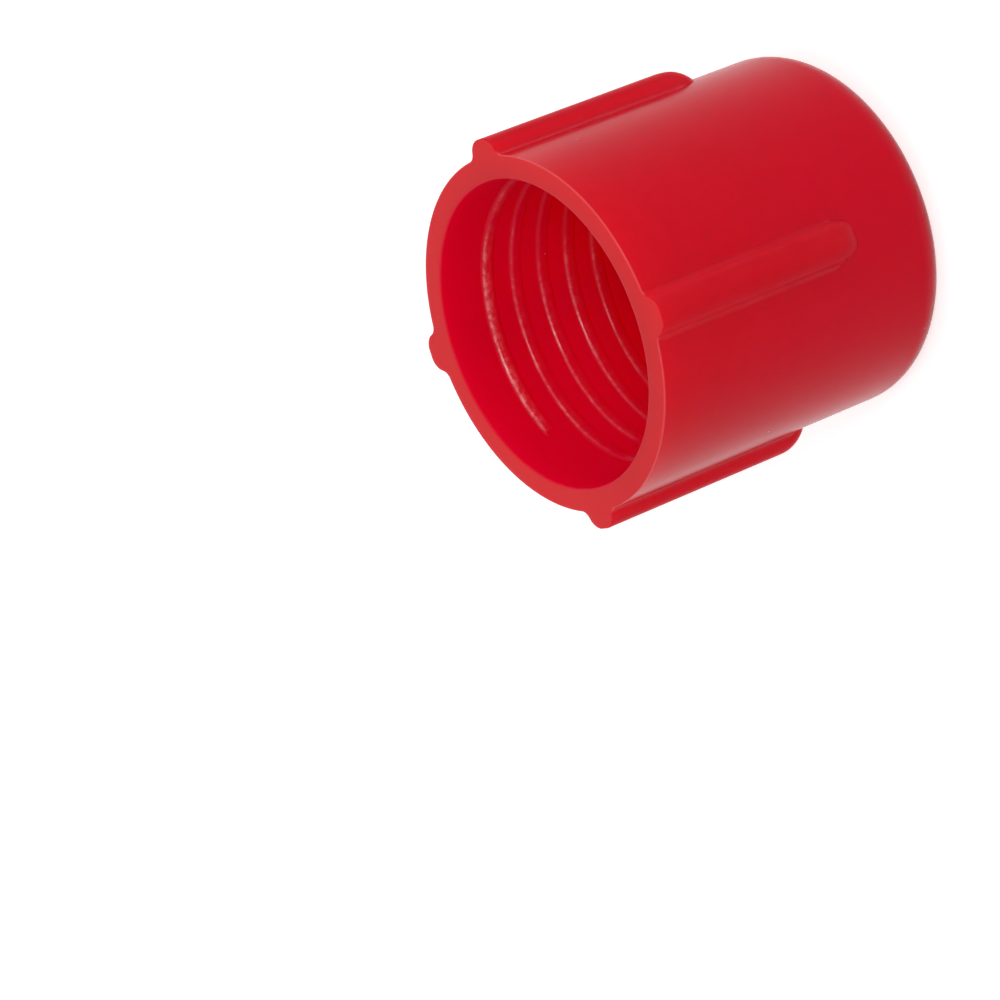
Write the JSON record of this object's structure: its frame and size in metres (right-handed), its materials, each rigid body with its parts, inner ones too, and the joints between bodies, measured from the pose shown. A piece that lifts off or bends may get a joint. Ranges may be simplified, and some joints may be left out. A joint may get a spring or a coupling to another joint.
{
  "type": "threaded protection cap",
  "caption": "Moulded plastic screw cap that covers the threaded end of a pipe or fitting, with an internal thread, a rounded closed end and straight grip ribs down its side.",
  "frame": {"origin": "centre of the closed end's flat face, on which the cap stands", "axes": "+Z along the cap's axis, out of the mouth; +X through the middle of one grip rib"},
  "size_m": [0.0286, 0.0286, 0.0268],
  "materials": {
    "cap": "moulded red polyethylene, waxy semi-gloss, slightly translucent"
  },
  "bodies": {
    "root": {"cap": "cap"}
  },
  "joints": []
}
